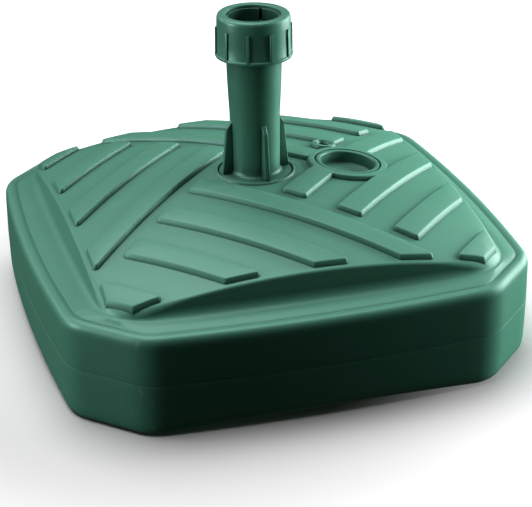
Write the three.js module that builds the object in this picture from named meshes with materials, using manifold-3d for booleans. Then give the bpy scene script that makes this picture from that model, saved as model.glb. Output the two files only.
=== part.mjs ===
// Square fillable parasol base: a hollow two-part tank with a domed, planked deck, a finned stand
// tube, a screw collar with its split clamping ring, a filler stopper and a vent plug.
// Millimetres, +Z up. The origin is on the ground under the middle of the tank, -Y is the front.

import * as THREE from 'three';
import { mergeVertices } from 'three/addons/utils/BufferGeometryUtils.js';
import Module from 'manifold-3d';

const wasm = await Module();
wasm.setup();

// Tank
const TANK_WIDTH = 470;
const SIDE_END_HALF = 226;
const CHAMFER_START = 167;
const CORNER_RUN = 11;
const SEAM_Z = 52.5;
const RIM_Z = 99.5;
const RIM_ROUND = 6;
const WALL = 4;
const JOIN_GAP = 0.3;
const FOOT_ROUND = 8;
const FOOT_TAPER = 0.024;
const ARCH_HALF = 150;
const ARCH_RISE = 6.5;

// Deck: a square with a spherical top
const DECK_HALF = 195;
const DECK_CORNER = 22;
const DECK_SKIRT = 12;
const DOME_RADIUS = 831;
const CROWN_Z = 150;
const DOME_REACH = 300;
const DOME_BASE_Z = 90;
const BORE_FLOOR_Z = 15.5;
const POLE_PAD_RADIUS = 20;
const TUBE_SEAT_Z = 14.9;

// Raised planks: four groups of parallel 45 degree bars, turned by a quarter each
const PLANK_HEIGHT = 4.8;
const PLANK_WIDTH = 27;
const PLANK_PITCH = 59.2;
const PLANK_FIRST = 47.3;
const PLANK_START = -34.4;
const PLANK_COUNT = 3;
const PLANK_MARGIN = 6;
const CORNER_PLANK = 230.5;

// Filler stopper and vent plug, both square to the dome
const FILLER = { x: 95.5, y: -4, boss: 41.5, sink: 0.8 };
const VENT = { x: 87.8, y: 50.6, boss: 13.3, sink: 0.2 };

// Stand tube
const FLANGE_RADIUS = 36.1;
const FLANGE_LOW = 147;
const FLANGE_HIGH = 150.4;
const WELL_BORE = 24.6;
const FIN_COUNT = 4;
const FIN_TURN = THREE.MathUtils.degToRad(5);
const FIN_THICKNESS = 5.7;

// Collar and split ring
const COLLAR_LOW = 270.2;
const COLLAR_HIGH = 312.3;
const COLLAR_BORE = 26.5;
const THREAD_BORE = 30;
const RIB_COUNT = 10;
const RIB_TURN = THREE.MathUtils.degToRad(-7);
const RIB_WIDTH = 3.8;
const NECK_TOP = 297;
const THREAD_PITCH = 6;
const RIDGE_COUNT = 4;

const ROUND_SEGMENTS = 32;
const SMALL_SEGMENTS = 20;

const finishes = {
  tank: { color: 0x2f6b58, roughness: 0.42, metalness: 0 },
  tube: { color: 0x2b6351, roughness: 0.36, metalness: 0 },
  collar: { color: 0x2d6855, roughness: 0.38, metalness: 0 },
  ring: { color: 0x1f4a3d, roughness: 0.45, metalness: 0 },
  stopper: { color: 0x2b6251, roughness: 0.4, metalness: 0 },
  seal: { color: 0x16181a, roughness: 0.7, metalness: 0 },
};

// A closed geometry as a solid: only its merged positions count, without its zero-area triangles.
function solidOf(geometry) {
  const bare = geometry.clone();
  bare.deleteAttribute('normal');
  bare.deleteAttribute('uv');
  const merged = mergeVertices(bare, 1e-3);
  const triangles = [];
  for (let i = 0; i < merged.index.count; i += 3) {
    const corners = [merged.index.getX(i), merged.index.getX(i + 1), merged.index.getX(i + 2)];
    if (new Set(corners).size === 3) triangles.push(...corners);
  }
  const mesh = new wasm.Mesh({
    numProp: 3,
    vertProperties: new Float32Array(merged.attributes.position.array),
    triVerts: new Uint32Array(triangles),
  });
  return new wasm.Manifold(mesh);
}

function geometryOf(solid) {
  const mesh = solid.getMesh();
  const geometry = new THREE.BufferGeometry();
  geometry.setAttribute('position', new THREE.BufferAttribute(new Float32Array(mesh.vertProperties), 3));
  geometry.setIndex(new THREE.BufferAttribute(new Uint32Array(mesh.triVerts), 1));
  geometry.computeVertexNormals();
  return geometry;
}

// Turns a profile of [radius, height] pairs, listed upwards on the outside, about the Z axis.
function turned(profile, segments = ROUND_SEGMENTS) {
  const points = profile.map(([radius, height]) => new THREE.Vector2(radius, height));
  return new THREE.LatheGeometry(points, segments).rotateX(Math.PI / 2);
}

function ring(inner, outer, low, high, segments = ROUND_SEGMENTS) {
  return turned([[inner, low], [outer, low], [outer, high], [inner, high], [inner, low]], segments);
}

function disc(radius, low, high, segments = ROUND_SEGMENTS) {
  return turned([[0, low], [radius, low], [radius, high], [0, high]], segments);
}

function prism(shape, low, high, options = {}) {
  const geometry = new THREE.ExtrudeGeometry(shape, { depth: high - low, bevelEnabled: false, ...options });
  return geometry.translate(0, 0, low);
}

function polygon(points) {
  return new THREE.Shape(points.map(([x, y]) => new THREE.Vector2(x, y)));
}

// Height of the deck's sphere at a distance from the axis.
function domeHeight(distance) {
  return CROWN_Z - DOME_RADIUS + Math.sqrt(DOME_RADIUS ** 2 - distance ** 2);
}

// The space under the deck's sphere, raised or lowered by a constant thickness.
function dome(raise, segments = 32) {
  const steps = segments / 4;
  const profile = [[0, DOME_BASE_Z], [DOME_REACH, DOME_BASE_Z]];
  for (let i = steps; i >= 0; i -= 1) {
    const distance = (DOME_REACH * i) / steps;
    profile.push([distance, domeHeight(distance) + raise]);
  }
  return solidOf(turned(profile, segments));
}

// The tank's outline: bowed sides and cut-off corners with rounded ends, moved in by an inset.
function tankOutline(inset) {
  const half = SIDE_END_HALF - inset;
  const start = CHAMFER_START - inset * (Math.SQRT2 - 1);
  const bow = TANK_WIDTH / 2 - SIDE_END_HALF;
  const shape = new THREE.Shape();
  for (let quarter = 0; quarter < 4; quarter += 1) {
    const turn = (quarter * Math.PI) / 2;
    const place = (x, y) => new THREE.Vector2(x, y).rotateAround(new THREE.Vector2(), turn);
    const cut = CORNER_RUN / Math.SQRT2;
    const sideStart = place(-start + CORNER_RUN, -half - 1);
    const sideBow = place(0, -half + 1 - 2 * bow);
    const sideEnd = place(start - CORNER_RUN, -half - 1);
    const cornerA = place(start, -half);
    const afterA = place(start + cut, -half + cut);
    const beforeB = place(half - cut, -start - cut);
    const cornerB = place(half, -start);
    const nextStart = place(half + 1, -start + CORNER_RUN);
    if (quarter === 0) shape.moveTo(sideStart.x, sideStart.y);
    shape.quadraticCurveTo(sideBow.x, sideBow.y, sideEnd.x, sideEnd.y);
    shape.quadraticCurveTo(cornerA.x, cornerA.y, afterA.x, afterA.y);
    shape.lineTo(beforeB.x, beforeB.y);
    shape.quadraticCurveTo(cornerB.x, cornerB.y, nextStart.x, nextStart.y);
  }
  return shape;
}

function roundedSquare(half, corner) {
  const shape = new THREE.Shape();
  const run = half - corner;
  shape.absarc(run, run, corner, 0, Math.PI / 2, false);
  shape.absarc(-run, run, corner, Math.PI / 2, Math.PI, false);
  shape.absarc(-run, -run, corner, Math.PI, 1.5 * Math.PI, false);
  shape.absarc(run, -run, corner, 1.5 * Math.PI, 2 * Math.PI, false);
  return shape;
}

// Draws the sides in towards the ground, as a moulding that has to leave its tool.
function taperToGround(geometry) {
  const position = geometry.attributes.position;
  for (let i = 0; i < position.count; i += 1) {
    const factor = 1 - FOOT_TAPER * Math.max(0, 1 - position.getZ(i) / SEAM_Z);
    position.setXY(i, position.getX(i) * factor, position.getY(i) * factor);
  }
  return geometry;
}

// The block of one tank half, solid; the lower one is rounded at the ground, the upper at the rim.
function lowerBlock(inset, floor, top) {
  const round = FOOT_ROUND - inset / 2;
  const bevel = { bevelEnabled: true, bevelSize: round, bevelThickness: round, bevelOffset: -round };
  const full = prism(tankOutline(inset), floor + round, top + 2 * round, {
    ...bevel, bevelSegments: 2, curveSegments: 5, steps: 1,
  });
  const keep = prism(roundedSquare(TANK_WIDTH, 1), floor - 1, top, { curveSegments: 1 });
  return solidOf(taperToGround(full)).intersect(solidOf(keep));
}

function upperBlock(inset, bottom, top) {
  const round = RIM_ROUND - inset / 2;
  const bevel = { bevelEnabled: true, bevelSize: round, bevelThickness: round, bevelOffset: -round };
  const full = prism(tankOutline(inset), bottom - 2 * round, top - round, {
    ...bevel, bevelSegments: 2, curveSegments: 5,
  });
  const keep = prism(roundedSquare(TANK_WIDTH, 1), bottom, top + 1, { curveSegments: 1 });
  return solidOf(full).intersect(solidOf(keep));
}

// Two shallow arches that cross under the tank, so that it stands on its four corners.
function arches(raise) {
  const shape = new THREE.Shape();
  shape.moveTo(-ARCH_HALF, -1);
  shape.lineTo(ARCH_HALF, -1);
  shape.lineTo(ARCH_HALF, raise);
  shape.quadraticCurveTo(0, raise + 2 * ARCH_RISE, -ARCH_HALF, raise);
  const along = prism(shape, -TANK_WIDTH, TANK_WIDTH, { curveSegments: 8 }).rotateX(Math.PI / 2);
  const across = along.clone().rotateZ(Math.PI / 2);
  return solidOf(along).add(solidOf(across));
}

// The frame of a fitting that stands square on the dome, level with the planks.
function seat({ x, y, sink }) {
  const height = domeHeight(Math.hypot(x, y)) + PLANK_HEIGHT - sink;
  const holder = new THREE.Group();
  holder.position.set(x, y, height);
  const normal = new THREE.Vector3(x, y, height - CROWN_Z + DOME_RADIUS).normalize();
  holder.quaternion.setFromUnitVectors(new THREE.Vector3(0, 0, 1), normal);
  holder.updateMatrixWorld();
  return holder;
}

function seated(geometry, fitting) {
  return solidOf(geometry.clone().applyMatrix4(seat(fitting).matrixWorld));
}

// One group of planks in its own axes: s runs along the planks, t out towards the tank's corner.
function plankGroup() {
  const place = (s, t) => [(s - t) / Math.SQRT2, -(s + t) / Math.SQRT2];
  const bars = [];
  for (let i = 0; i < PLANK_COUNT; i += 1) {
    const near = PLANK_FIRST + PLANK_PITCH * i;
    bars.push([[PLANK_START, near], [DECK_HALF * 2, near],
      [DECK_HALF * 2, near + PLANK_WIDTH], [PLANK_START, near + PLANK_WIDTH]]);
  }
  bars.push([[-DECK_HALF, CORNER_PLANK], [DECK_HALF, CORNER_PLANK],
    [DECK_HALF, DECK_HALF * 2], [-DECK_HALF, DECK_HALF * 2]]);
  return bars.map((bar) => polygon(bar.map(([s, t]) => place(s, t))));
}

// Everything that stands proud of the dome by the height of a plank.
function raisedPattern() {
  const bars = plankGroup().map((shape) => solidOf(prism(shape, DOME_BASE_Z + 5, CROWN_Z + 20)));
  const quarter = bars.reduce((sum, bar) => sum.add(bar));
  let pattern = quarter;
  for (let i = 1; i < 4; i += 1) pattern = pattern.add(quarter.rotate([0, 0, 90 * i]));
  const field = prism(roundedSquare(DECK_HALF - PLANK_MARGIN, DECK_CORNER), DOME_BASE_Z, CROWN_Z + 30);
  pattern = pattern.intersect(solidOf(field));
  for (const fitting of [FILLER, VENT]) {
    const boss = disc(fitting.boss, DOME_BASE_Z + 5, CROWN_Z + 20, SMALL_SEGMENTS).translate(fitting.x, fitting.y, 0);
    pattern = pattern.add(solidOf(boss));
  }
  return pattern.intersect(dome(PLANK_HEIGHT));
}

function upperShell() {
  const base = SEAM_Z + JOIN_GAP / 2;
  const field = solidOf(prism(roundedSquare(DECK_HALF, DECK_CORNER), DOME_BASE_Z, CROWN_Z + 20));
  const skirt = solidOf(prism(roundedSquare(DECK_HALF + DECK_SKIRT, DECK_CORNER + DECK_SKIRT), RIM_Z - 3,
    RIM_Z + 1, { bevelEnabled: true, bevelSize: DECK_SKIRT, bevelThickness: DECK_SKIRT,
      bevelOffset: -DECK_SKIRT, bevelSegments: 1 }));
  const innerField = solidOf(prism(roundedSquare(DECK_HALF - WALL, DECK_CORNER - WALL),
    DOME_BASE_Z, CROWN_Z + 20));
  const outside = upperBlock(0, base, RIM_Z)
    .add(field.intersect(dome(0)))
    .add(skirt.intersect(dome(-1, 20)))
    .add(raisedPattern())
    .add(solidOf(ring(FLANGE_RADIUS + 0.5, FLANGE_RADIUS + 2.6, CROWN_Z - 6, CROWN_Z + 0.9)));
  const hollow = upperBlock(WALL, base - 20, RIM_Z - WALL).add(innerField.intersect(dome(-WALL, 20)));
  const inside = solidOf(disc(WELL_BORE + 3.6, BORE_FLOOR_Z - 3.5, CROWN_Z - 2))
    .add(solidOf(disc(FLANGE_RADIUS + 3, FLANGE_LOW - 4, CROWN_Z - 3)))
    .add(seated(disc(37, -10, -1), FILLER))
    .add(seated(disc(33.5, -22, -1), FILLER))
    .add(seated(disc(12, -13, -1, SMALL_SEGMENTS), VENT));
  const cuts = solidOf(disc(WELL_BORE, BORE_FLOOR_Z, CROWN_Z + 10))
    .add(solidOf(ring(POLE_PAD_RADIUS, WELL_BORE, TUBE_SEAT_Z, BORE_FLOOR_Z + 1)))
    .add(solidOf(disc(FLANGE_RADIUS + 0.5, FLANGE_LOW - JOIN_GAP, CROWN_Z + 10)))
    .add(seated(disc(33.1, -5, 12), FILLER))
    .add(seated(disc(29.6, -40, 12), FILLER))
    .add(seated(disc(8.9, -3.4, 12, SMALL_SEGMENTS), VENT))
    .add(seated(disc(7, -30, 12, SMALL_SEGMENTS), VENT));
  return outside.subtract(hollow).add(inside).subtract(cuts);
}

function lowerShell() {
  const top = SEAM_Z - JOIN_GAP / 2;
  const outside = lowerBlock(0, 0, top).subtract(arches(0));
  const hollow = lowerBlock(WALL, WALL, top + 5).subtract(arches(WALL));
  return outside.subtract(hollow);
}

function standTube() {
  const skin = [[23, TUBE_SEAT_Z + JOIN_GAP], [24, FLANGE_LOW], [FLANGE_RADIUS, FLANGE_LOW],
    [FLANGE_RADIUS, FLANGE_HIGH - 0.6], [FLANGE_RADIUS - 0.6, FLANGE_HIGH], [24, FLANGE_HIGH + 0.6],
    [24.7, 210], [26, 233], [27, 268], [28.6, 271]];
  for (let i = 0; i < RIDGE_COUNT; i += 1) {
    const low = 274 + THREAD_PITCH * i;
    skin.push([28.6, low], [29.4, low + 1], [29.4, low + 2], [28.6, low + 3]);
  }
  skin.push([28.6, NECK_TOP - 1], [27.8, NECK_TOP]);
  const bore = [[24, NECK_TOP], [23.6, 250], [21.6, 205], [20.8, FLANGE_HIGH], [20.4, TUBE_SEAT_Z + JOIN_GAP]];
  let tube = solidOf(turned([...skin, ...bore, skin[0]]));
  const fin = polygon([[22.6, FLANGE_LOW + 1], [34.9, FLANGE_LOW + 1], [30.3, 196], [24.6, 205.4], [22.6, 205.4]]);
  for (let i = 0; i < FIN_COUNT; i += 1) {
    const blade = prism(fin, -FIN_THICKNESS / 2, FIN_THICKNESS / 2).rotateX(Math.PI / 2);
    blade.rotateZ(FIN_TURN + (2 * Math.PI * i) / FIN_COUNT);
    tube = tube.add(solidOf(blade));
  }
  return tube;
}

function clampCollar() {
  const profile = [[THREAD_BORE, COLLAR_LOW], [37.2, COLLAR_LOW], [37.9, COLLAR_LOW + 0.8],
    [37.9, COLLAR_LOW + 3], [36.3, COLLAR_LOW + 4.2], [35.9, 301], [35.7, COLLAR_HIGH - 3],
    [34.9, COLLAR_HIGH - 0.9], [33, COLLAR_HIGH], [COLLAR_BORE + 1, COLLAR_HIGH],
    [COLLAR_BORE, COLLAR_HIGH - 1], [COLLAR_BORE, 306], [THREAD_BORE, 300.5], [THREAD_BORE, COLLAR_LOW]];
  let collar = solidOf(turned(profile, 40));
  const rib = polygon([[34, COLLAR_LOW + 2], [37.9, COLLAR_LOW + 2], [37.6, 300.8], [34, 300.8]]);
  for (let i = 0; i < RIB_COUNT; i += 1) {
    const blade = prism(rib, -RIB_WIDTH / 2, RIB_WIDTH / 2).rotateX(Math.PI / 2);
    blade.rotateZ(RIB_TURN + (2 * Math.PI * i) / RIB_COUNT);
    collar = collar.add(solidOf(blade));
  }
  return collar;
}

// A tapered ring, split right through on one side and slotted from the top at three more places.
function splitRing() {
  const low = NECK_TOP + JOIN_GAP;
  let body = solidOf(turned([[24.3, low], [29.4, low], [29.4, 300], [26, 305.8], [26, 309], [24.3, 309], [24.3, low]]));
  const split = new THREE.BoxGeometry(12, 3, 30).translate(27, 0, low + 10);
  const slot = new THREE.BoxGeometry(12, 2, 30).translate(27, 0, low + 19);
  body = body.subtract(solidOf(split.rotateZ(Math.PI * 0.32)));
  for (let i = 1; i < 4; i += 1) {
    body = body.subtract(solidOf(slot.clone().rotateZ(Math.PI * (0.32 + 0.5 * i))));
  }
  return body;
}

function fillerCap() {
  return turned([[0, -15], [28, -15], [29.2, -13.5], [29.2, -2.8], [32.4, -2.8], [32.4, -0.8], [31.8, -0.2],
    [28.2, -0.2], [27.6, -0.8], [27.1, -12.5], [0, -12.5]]);
}

function ventPlug() {
  return turned([[0, -10], [6.2, -10], [6.6, -9], [6.6, -2], [8.4, -2], [8.4, -0.6], [7.9, -0.1],
    [6.2, -0.1], [5.8, -0.6], [5.5, -8.4], [0, -8.4]], SMALL_SEGMENTS);
}

function named(name, geometry, finish) {
  const mesh = new THREE.Mesh(geometry, new THREE.MeshStandardMaterial(finishes[finish]));
  mesh.name = name;
  return mesh;
}

const base = new THREE.Group();
base.add(named('tank_upper_shell', geometryOf(upperShell()), 'tank'));
base.add(named('tank_lower_shell', geometryOf(lowerShell()), 'tank'));
base.add(named('stand_tube', geometryOf(standTube()), 'tube'));
base.add(named('clamp_collar', geometryOf(clampCollar()), 'collar'));
base.add(named('clamp_split_ring', geometryOf(splitRing()), 'ring'));

const fillerSeat = seat(FILLER);
fillerSeat.add(named('filler_stopper', geometryOf(solidOf(fillerCap())), 'stopper'));
fillerSeat.add(named('filler_seal', geometryOf(solidOf(ring(30, 32.2, -4.7, -3.1))), 'seal'));
base.add(fillerSeat);

const ventSeat = seat(VENT);
ventSeat.add(named('vent_plug', geometryOf(solidOf(ventPlug())), 'stopper'));
ventSeat.add(named('vent_seal', geometryOf(solidOf(ring(7.2, 8.4, -3.2, -2.3, SMALL_SEGMENTS))), 'seal'));
base.add(ventSeat);

export default base;
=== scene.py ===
"""Looks of a square, fillable parasol base: tank, stand tube, screw collar, filler and vent.

Each sub-assembly is a class with its sizes in millimetres and the methods that model it. The
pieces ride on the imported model's bodies and stand for its plain solids.
"""

import logging
import math
from collections.abc import Callable, Iterable, Sequence
from dataclasses import dataclass, field
from enum import Enum
from typing import Any

import bmesh
import bpy
from mathutils import Matrix, Quaternion, Vector


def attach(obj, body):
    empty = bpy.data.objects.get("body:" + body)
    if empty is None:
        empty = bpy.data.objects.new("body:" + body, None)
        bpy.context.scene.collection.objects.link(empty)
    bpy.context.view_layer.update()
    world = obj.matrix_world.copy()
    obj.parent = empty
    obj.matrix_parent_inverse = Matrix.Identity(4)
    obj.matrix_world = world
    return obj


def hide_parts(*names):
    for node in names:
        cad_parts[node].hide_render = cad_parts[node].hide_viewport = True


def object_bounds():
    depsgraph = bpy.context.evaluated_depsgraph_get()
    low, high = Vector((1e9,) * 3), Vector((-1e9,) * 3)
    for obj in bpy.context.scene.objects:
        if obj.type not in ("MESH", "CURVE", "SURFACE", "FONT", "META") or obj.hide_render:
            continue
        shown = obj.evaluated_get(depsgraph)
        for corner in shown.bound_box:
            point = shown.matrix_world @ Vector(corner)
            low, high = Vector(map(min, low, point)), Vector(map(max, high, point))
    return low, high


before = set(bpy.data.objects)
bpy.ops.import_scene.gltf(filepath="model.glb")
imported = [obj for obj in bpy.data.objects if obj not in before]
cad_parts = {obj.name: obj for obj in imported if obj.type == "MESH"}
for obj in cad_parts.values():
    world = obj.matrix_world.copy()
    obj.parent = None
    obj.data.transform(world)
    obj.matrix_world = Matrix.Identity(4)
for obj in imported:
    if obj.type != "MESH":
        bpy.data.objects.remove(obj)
CAD_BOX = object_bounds()

log = logging.getLogger("parasol_base")

MM = 0.001
UP = Vector((0.0, 0.0, 1.0))

Ring = list[Vector]


class Body(str, Enum):
    """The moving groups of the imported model."""

    TANK = "tank"
    SPLIT_RING = "split_ring"
    COLLAR = "collar"
    FILLER = "filler"
    VENT = "vent"


class Cut(str, Enum):
    """What a boolean does with its second shape."""

    JOIN = "UNION"
    TAKE = "DIFFERENCE"


# --- Modelling bench ---


def deselect() -> None:
    """Leaves edit mode and deselects every object."""
    if bpy.context.object and bpy.context.object.mode != "OBJECT":
        bpy.ops.object.mode_set(mode="OBJECT")
    bpy.ops.object.select_all(action="DESELECT")


def take_up(obj: bpy.types.Object) -> None:
    """Makes one object the only selected one."""
    deselect()
    obj.select_set(True)
    bpy.context.view_layer.objects.active = obj


def open_mesh(obj: bpy.types.Object) -> bmesh.types.BMesh:
    """Goes into edit mode on an object.

    Args:
        obj: the object to edit.

    Returns:
        Its edit mesh.
    """
    take_up(obj)
    bpy.ops.object.mode_set(mode="EDIT")
    return bmesh.from_edit_mesh(obj.data)


def close_mesh(obj: bpy.types.Object) -> None:
    """Writes the edit mesh back and leaves edit mode."""
    bmesh.update_edit_mesh(obj.data)
    bpy.ops.object.mode_set(mode="OBJECT")


def choose(
    obj: bpy.types.Object,
    kind: str,
    test: Callable[[Any], bool],
) -> int:
    """Selects the vertices, edges or faces that pass a test, and nothing else.

    Args:
        obj: the object in edit mode.
        kind: "verts", "edges" or "faces".
        test: tells whether an element is chosen.

    Returns:
        How many were chosen.
    """
    modes = {"verts": "VERT", "edges": "EDGE", "faces": "FACE"}
    bpy.ops.mesh.select_mode(type=modes[kind])
    bpy.ops.mesh.select_all(action="DESELECT")
    mesh = bmesh.from_edit_mesh(obj.data)
    count = 0
    for element in getattr(mesh, kind):
        if test(element):
            element.select = True
            count += 1
    mesh.select_flush_mode()
    bmesh.update_edit_mesh(obj.data)
    return count


def edge_heights(edge: bmesh.types.BMEdge) -> tuple[float, float]:
    """The lower and the higher end of an edge."""
    low, high = sorted(vert.co.z for vert in edge.verts)
    return low, high


def outward(obj: bpy.types.Object) -> None:
    """Merges doubles and turns every face of a closed mesh to the outside."""
    open_mesh(obj)
    bpy.ops.mesh.select_all(action="SELECT")
    bpy.ops.mesh.remove_doubles(threshold=0.00001)
    bpy.ops.mesh.normals_make_consistent(inside=False)
    close_mesh(obj)


def combine(
    obj: bpy.types.Object,
    tool: bpy.types.Object,
    cut: Cut,
) -> bpy.types.Object:
    """Joins a shape to an object or takes it away, and applies the result.

    Args:
        obj: the object that is changed.
        tool: the second shape, which is used up.
        cut: whether to join or to take away.

    Returns:
        The changed object.
    """
    take_up(obj)
    modifier = obj.modifiers.new("combine", "BOOLEAN")
    modifier.operation = cut.value
    modifier.object = tool
    modifier.solver = "MANIFOLD"
    bpy.ops.object.modifier_apply(modifier=modifier.name)
    bpy.data.objects.remove(tool, do_unlink=True)
    return obj


def merge_objects(name: str, parts: Sequence[bpy.types.Object]) -> bpy.types.Object:
    """Joins several objects into one mesh without cutting them.

    Args:
        name: the name of the result.
        parts: the objects, all of them used up.

    Returns:
        The one object.
    """
    deselect()
    for part in parts:
        part.select_set(True)
    bpy.context.view_layer.objects.active = parts[0]
    bpy.ops.object.join()
    parts[0].name = name
    return parts[0]


def copy_of(obj: bpy.types.Object, turn: float) -> bpy.types.Object:
    """A copy of an object with its own mesh, turned about the Z axis.

    Args:
        obj: the object to copy.
        turn: the angle in radians.

    Returns:
        The copy, with the turn in its mesh.
    """
    twin = obj.copy()
    twin.data = obj.data.copy()
    bpy.context.scene.collection.objects.link(twin)
    twin.data.transform(Matrix.Rotation(turn, 4, "Z"))
    return twin


def circle(radius: float, height: float, count: int) -> Ring:
    """A level circle of points about the Z axis, in millimetres."""
    step = math.tau / count
    return [
        Vector((radius * math.cos(i * step), radius * math.sin(i * step), height)) for i in range(count)
    ]


def loft(name: str, rings: Sequence[Ring], closed: bool = False) -> bpy.types.Object:
    """Extrudes a ring of edges from place to place, as a lathe or a forming tool would.

    Args:
        name: the name of the new object.
        rings: the places of the ring in turn, in millimetres, all with the same number of points.
        closed: bridges the last ring back to the first; otherwise both ends get a face.

    Returns:
        A closed object with its faces outwards.
    """
    deselect()
    bpy.ops.mesh.primitive_circle_add(vertices=len(rings[0]), radius=1.0)
    obj = bpy.context.object
    obj.name = name
    bpy.ops.object.mode_set(mode="EDIT")
    bpy.ops.mesh.select_all(action="SELECT")
    mesh = bmesh.from_edit_mesh(obj.data)
    mesh.verts.ensure_lookup_table()
    places = [vert.co.copy() for vert in mesh.verts]
    for number, ring in enumerate(rings):
        if number:
            bpy.ops.mesh.extrude_region_move()
            mesh = bmesh.from_edit_mesh(obj.data)
        order = {tuple(round(value, 6) for value in place): i for i, place in enumerate(places)}
        chosen = [vert for vert in mesh.verts if vert.select]
        for vert in chosen:
            index = order[tuple(round(value, 6) for value in vert.co)]
            vert.co = ring[index] * MM
        places = [point * MM for point in ring]
        bmesh.update_edit_mesh(obj.data)
    if closed:
        bpy.ops.mesh.select_all(action="DESELECT")
        bpy.ops.mesh.select_non_manifold()
        bpy.ops.mesh.bridge_edge_loops()
    else:
        bpy.ops.mesh.edge_face_add()
        bpy.ops.mesh.select_all(action="DESELECT")
        bpy.ops.mesh.select_non_manifold()
        bpy.ops.mesh.edge_face_add()
    bpy.ops.object.mode_set(mode="OBJECT")
    outward(obj)
    return obj


def turned(
    name: str,
    profile: Iterable[tuple[float, float]],
    count: int = 96,
    closed: bool = False,
) -> bpy.types.Object:
    """A turned piece.

    Args:
        name: the name of the new object.
        profile: radius and height of each ring, in millimetres.
        count: the number of points round it.
        closed: bridges the last ring back to the first, for a piece with a bore.

    Returns:
        The closed object.
    """
    return loft(name, [circle(radius, height, count) for radius, height in profile], closed)


def rounded(
    obj: bpy.types.Object,
    width: float,
    segments: int,
    angle: float = 40.0,
) -> bpy.types.Object:
    """Rounds the sharp edges of an object with a Bevel modifier, applied.

    Args:
        obj: the object.
        width: the width of the rounding, in millimetres.
        segments: the number of steps in it.
        angle: edges sharper than this many degrees are rounded.

    Returns:
        The same object.
    """
    take_up(obj)
    modifier = obj.modifiers.new("rounding", "BEVEL")
    modifier.width = width * MM
    modifier.segments = segments
    modifier.limit_method = "ANGLE"
    modifier.angle_limit = math.radians(angle)
    modifier.use_clamp_overlap = True
    bpy.ops.object.modifier_apply(modifier=modifier.name)
    return obj


def wedge(corner: Callable[[bool, bool], tuple[float, float, float]], turn: float) -> bpy.types.Object:
    """An upright block beside the axis, shaped corner by corner and turned about the Z axis.

    Args:
        corner: radius, half thickness and height of an outer or inner, upper or lower corner.
        turn: its angle about the axis in radians.

    Returns:
        The block in its place.
    """
    deselect()
    bpy.ops.mesh.primitive_cube_add(size=1.0, location=(0.0, 0.0, 0.0))
    obj = bpy.context.object
    mesh = open_mesh(obj)
    for vert in mesh.verts:
        radius, half, height = corner(vert.co.x > 0, vert.co.z > 0)
        vert.co = Vector((radius, math.copysign(half, vert.co.y), height)) * MM
    close_mesh(obj)
    obj.data.transform(Matrix.Rotation(turn, 4, "Z"))
    return obj


# --- Shading ---


class Wire:
    """A socket that can be used in Python expressions."""

    def __init__(self, shader: "Shader", socket: bpy.types.NodeSocket) -> None:
        """Wraps a socket of one material's node tree."""
        self.shader = shader
        self.socket = socket

    def _math(self, operation: str, first: Any, second: Any) -> "Wire":
        """Adds one Math node."""
        return self.shader.node("Math", {"operation": operation}, {0: first, 1: second})

    def __add__(self, other: Any) -> "Wire":
        """Sum."""
        return self._math("ADD", self, other)

    def __radd__(self, other: Any) -> "Wire":
        """Sum, reflected."""
        return self._math("ADD", other, self)

    def __sub__(self, other: Any) -> "Wire":
        """Difference."""
        return self._math("SUBTRACT", self, other)

    def __rsub__(self, other: Any) -> "Wire":
        """Difference, reflected."""
        return self._math("SUBTRACT", other, self)

    def __mul__(self, other: Any) -> "Wire":
        """Product."""
        return self._math("MULTIPLY", self, other)

    def __rmul__(self, other: Any) -> "Wire":
        """Product, reflected."""
        return self._math("MULTIPLY", other, self)


class Shader:
    """Builds the node tree of one material."""

    def __init__(self, name: str) -> None:
        """Starts an empty material with an output node."""
        self.material = bpy.data.materials.new(name)
        self.material.use_nodes = True
        self.tree = self.material.node_tree
        self.tree.nodes.clear()
        self.output = self.tree.nodes.new("ShaderNodeOutputMaterial")

    def node(
        self,
        kind: str,
        settings: dict[str, Any] | None = None,
        inputs: dict[Any, Any] | None = None,
        output: str | int = 0,
    ) -> Wire:
        """Adds a node.

        Args:
            kind: the node's type without its ShaderNode prefix.
            settings: properties of the node; "stops" fills a colour ramp.
            inputs: values or wires by socket name or number.
            output: which output is wanted.

        Returns:
            The output as a wire.
        """
        made = self.tree.nodes.new(f"ShaderNode{kind}")
        for key, value in (settings or {}).items():
            if key == "stops":
                self._fill_ramp(made.color_ramp, value)
            else:
                setattr(made, key, value)
        for key, value in (inputs or {}).items():
            if isinstance(value, Wire):
                self.tree.links.new(value.socket, made.inputs[key])
            else:
                made.inputs[key].default_value = value
        return Wire(self, made.outputs[output])

    @staticmethod
    def _fill_ramp(ramp: bpy.types.ColorRamp, stops: Sequence[tuple[float, float]]) -> None:
        """Sets a ramp's grey stops."""
        while len(ramp.elements) < len(stops):
            ramp.elements.new(0.5)
        for element, (place, grey) in zip(ramp.elements, stops):
            element.position = place
            element.color = (grey, grey, grey, 1.0)

    def finish(self, surface: Wire) -> bpy.types.Material:
        """Links the surface to the output and returns the material."""
        self.tree.links.new(surface.socket, self.output.inputs["Surface"])
        return self.material


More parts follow.
